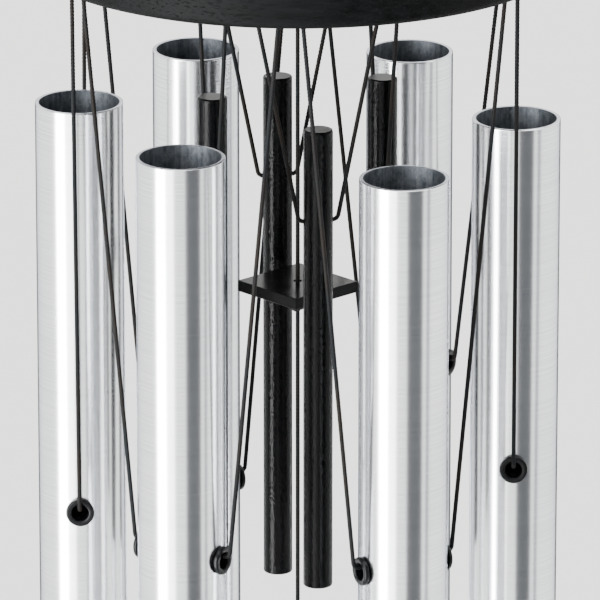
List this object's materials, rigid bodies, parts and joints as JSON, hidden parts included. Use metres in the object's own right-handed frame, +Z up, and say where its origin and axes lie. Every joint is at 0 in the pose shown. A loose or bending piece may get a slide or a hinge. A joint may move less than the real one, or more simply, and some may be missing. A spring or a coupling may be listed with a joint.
{
  "type": "wind chime",
  "caption": "Wind chime: open metal tubes hang by threaded cords around coated rods, which a square plate on the centre cord pushes outwards when the sail moves.",
  "frame": {"origin": "where a hook bears on the inside of the hanging ring, on the chime's vertical axis", "axes": "+Z up along the centre cord, +X through tube_1, the hanging ring lies in the XZ plane"},
  "size_m": [0.117, 0.117, 0.8001],
  "materials": {
    "tube_aluminium": "brushed lengthwise, satin",
    "coated_rod": "black textured powder coat",
    "cord": "black braided polyester",
    "grommet": "black moulded, satin",
    "stained_wood": "black stained, open grain, satin",
    "gloss_plate": "black polished",
    "ring_steel": "bright nickel"
  },
  "bodies": {
    "ring": {"hanging_ring": "ring_steel"},
    "hanger": {"hanger_loop": "cord", "hanger_knot": "cord"},
    "canopy": {"platform": "stained_wood", "suspension_cord_1": "cord", "suspension_cord_2": "cord", "suspension_cord_3": "cord", "suspension_knot_1": "cord", "suspension_knot_2": "cord", "suspension_knot_3": "cord", "tube_stitch_1": "cord", "tube_stitch_2": "cord", "tube_stitch_3": "cord", "tube_stitch_4": "cord", "tube_stitch_5": "cord", "tube_stitch_6": "cord", "rod_stitch_1": "cord", "rod_stitch_2": "cord", "rod_stitch_3": "cord", "rod_stitch_4": "cord"},
    "tube_1_cord": {"tube_1_cord": "cord"},
    "tube_1": {"tube_1": "tube_aluminium", "tube_1_grommet_a": "grommet", "tube_1_grommet_b": "grommet"},
    "tube_2_cord": {"tube_2_cord": "cord"},
    "tube_2": {"tube_2": "tube_aluminium", "tube_2_grommet_a": "grommet", "tube_2_grommet_b": "grommet"},
    "tube_3_cord": {"tube_3_cord": "cord"},
    "tube_3": {"tube_3": "tube_aluminium", "tube_3_grommet_a": "grommet", "tube_3_grommet_b": "grommet"},
    "tube_4_cord": {"tube_4_cord": "cord"},
    "tube_4": {"tube_4": "tube_aluminium", "tube_4_grommet_a": "grommet", "tube_4_grommet_b": "grommet"},
    "tube_5_cord": {"tube_5_cord": "cord"},
    "tube_5": {"tube_5": "tube_aluminium", "tube_5_grommet_a": "grommet", "tube_5_grommet_b": "grommet"},
    "tube_6_cord": {"tube_6_cord": "cord"},
    "tube_6": {"tube_6": "tube_aluminium", "tube_6_grommet_a": "grommet", "tube_6_grommet_b": "grommet"},
    "rod_1_cord": {"rod_1_cord": "cord"},
    "rod_1": {"rod_1": "coated_rod"},
    "rod_2_cord": {"rod_2_cord": "cord"},
    "rod_2": {"rod_2": "coated_rod"},
    "rod_3_cord": {"rod_3_cord": "cord"},
    "rod_3": {"rod_3": "coated_rod"},
    "rod_4_cord": {"rod_4_cord": "cord"},
    "rod_4": {"rod_4": "coated_rod"},
    "striker_pivot": {"striker_knot": "cord"},
    "striker": {"striker_cord": "cord", "striker_plate": "gloss_plate"},
    "plate_pivot": {"plate_knot": "cord"},
    "sail_cord": {"sail_cord": "cord", "sail_knot": "cord"},
    "sail_loop": {"sail_loop": "cord"},
    "sail": {"sail": "stained_wood"}
  },
  "joints": [
    {"name": "hanger_swing", "type": "hinge", "parent": "ring", "child": "hanger", "pos_m": [0, 0, -0.0256], "axis": [1, 0, 0], "range_deg": [-12, 12]},
    {"name": "canopy_swing", "type": "hinge", "parent": "hanger", "child": "canopy", "pos_m": [0, 0, -0.0338], "axis": [0, -1, 0], "range_deg": [-12, 12]},
    {"name": "tube_1_swing", "type": "hinge", "parent": "canopy", "child": "tube_1_cord", "pos_m": [0.047, 0, -0.1943], "axis": [0, -1, 0], "range_deg": [-4, 20]},
    {"name": "tube_1_rock", "type": "hinge", "parent": "tube_1_cord", "child": "tube_1", "pos_m": [0.047, 0, -0.3054], "axis": [0, 1, 0], "range_deg": [-5, 5]},
    {"name": "tube_2_swing", "type": "hinge", "parent": "canopy", "child": "tube_2_cord", "pos_m": [0.0235, 0.0407, -0.1943], "axis": [0.866, -0.5, 0], "range_deg": [-4, 20]},
    {"name": "tube_2_rock", "type": "hinge", "parent": "tube_2_cord", "child": "tube_2", "pos_m": [0.0235, 0.0407, -0.29626], "axis": [-0.866, 0.5, 0], "range_deg": [-5, 5]},
    {"name": "tube_3_swing", "type": "hinge", "parent": "canopy", "child": "tube_3_cord", "pos_m": [-0.0235, 0.0407, -0.1943], "axis": [0.866, 0.5, 0], "range_deg": [-4, 20]},
    {"name": "tube_3_rock", "type": "hinge", "parent": "tube_3_cord", "child": "tube_3", "pos_m": [-0.0235, 0.0407, -0.32684], "axis": [-0.866, -0.5, 0], "range_deg": [-5, 5]},
    {"name": "tube_4_swing", "type": "hinge", "parent": "canopy", "child": "tube_4_cord", "pos_m": [-0.047, 0, -0.1943], "axis": [0, -1, 0], "range_deg": [-20, 4]},
    {"name": "tube_4_rock", "type": "hinge", "parent": "tube_4_cord", "child": "tube_4", "pos_m": [-0.047, 0, -0.31617], "axis": [0, 1, 0], "range_deg": [-5, 5]},
    {"name": "tube_5_swing", "type": "hinge", "parent": "canopy", "child": "tube_5_cord", "pos_m": [-0.0235, -0.0407, -0.1943], "axis": [0.866, -0.5, 0], "range_deg": [-20, 4]},
    {"name": "tube_5_rock", "type": "hinge", "parent": "tube_5_cord", "child": "tube_5", "pos_m": [-0.0235, -0.0407, -0.31415], "axis": [-0.866, 0.5, 0], "range_deg": [-5, 5]},
    {"name": "tube_6_swing", "type": "hinge", "parent": "canopy", "child": "tube_6_cord", "pos_m": [0.0235, -0.0407, -0.1943], "axis": [0.866, 0.5, 0], "range_deg": [-20, 4]},
    {"name": "tube_6_rock", "type": "hinge", "parent": "tube_6_cord", "child": "tube_6", "pos_m": [0.0235, -0.0407, -0.31634], "axis": [-0.866, -0.5, 0], "range_deg": [-5, 5]},
    {"name": "rod_1_swing", "type": "hinge", "parent": "canopy", "child": "rod_1_cord", "pos_m": [0.01816, 0.00487, -0.1943], "axis": [0.2588, -0.9659, 0], "range_deg": [-2, 6]},
    {"name": "rod_1_rock", "type": "hinge", "parent": "rod_1_cord", "child": "rod_1", "pos_m": [0.01816, 0.00487, -0.24487], "axis": [-0.2588, 0.9659, 0], "range_deg": [-3, 3]},
    {"name": "rod_2_swing", "type": "hinge", "parent": "canopy", "child": "rod_2_cord", "pos_m": [-0.00487, 0.01816, -0.1943], "axis": [0.9659, 0.2588, 0], "range_deg": [-2, 6]},
    {"name": "rod_2_rock", "type": "hinge", "parent": "rod_2_cord", "child": "rod_2", "pos_m": [-0.00487, 0.01816, -0.24867], "axis": [-0.9659, -0.2588, 0], "range_deg": [-3, 3]},
    {"name": "rod_3_swing", "type": "hinge", "parent": "canopy", "child": "rod_3_cord", "pos_m": [-0.01816, -0.00487, -0.1943], "axis": [0.2588, -0.9659, 0], "range_deg": [-6, 2]},
    {"name": "rod_3_rock", "type": "hinge", "parent": "rod_3_cord", "child": "rod_3", "pos_m": [-0.01816, -0.00487, -0.24727], "axis": [-0.2588, 0.9659, 0], "range_deg": [-3, 3]},
    {"name": "rod_4_swing", "type": "hinge", "parent": "canopy", "child": "rod_4_cord", "pos_m": [0.00487, -0.01816, -0.1943], "axis": [0.9659, 0.2588, 0], "range_deg": [-6, 2]},
    {"name": "rod_4_rock", "type": "hinge", "parent": "rod_4_cord", "child": "rod_4", "pos_m": [0.00487, -0.01816, -0.24777], "axis": [-0.9659, -0.2588, 0], "range_deg": [-3, 3]},
    {"name": "striker_swing_y", "type": "hinge", "parent": "canopy", "child": "striker_pivot", "pos_m": [0, 0, -0.1816], "axis": [1, 0, 0], "range_deg": [-2, 2]},
    {"name": "striker_swing_x", "type": "hinge", "parent": "striker_pivot", "child": "striker", "pos_m": [0, 0, -0.1816], "axis": [0, -1, 0], "range_deg": [-2, 2]},
    {"name": "sail_swing_y", "type": "hinge", "parent": "striker", "child": "plate_pivot", "pos_m": [0, 0, -0.2719], "axis": [1, 0, 0], "range_deg": [-4, 4]},
    {"name": "sail_swing_x", "type": "hinge", "parent": "plate_pivot", "child": "sail_cord", "pos_m": [0, 0, -0.2719], "axis": [0, -1, 0], "range_deg": [-4, 4]},
    {"name": "sail_spin", "type": "hinge", "parent": "sail_cord", "child": "sail_loop", "pos_m": [0, 0, -0.6943], "axis": [0, 0, 1], "range_deg": [-180, 180]},
    {"name": "sail_rock", "type": "hinge", "parent": "sail_loop", "child": "sail", "pos_m": [0, 0, -0.7056], "axis": [0, -1, 0], "range_deg": [-8, 8]}
  ]
}
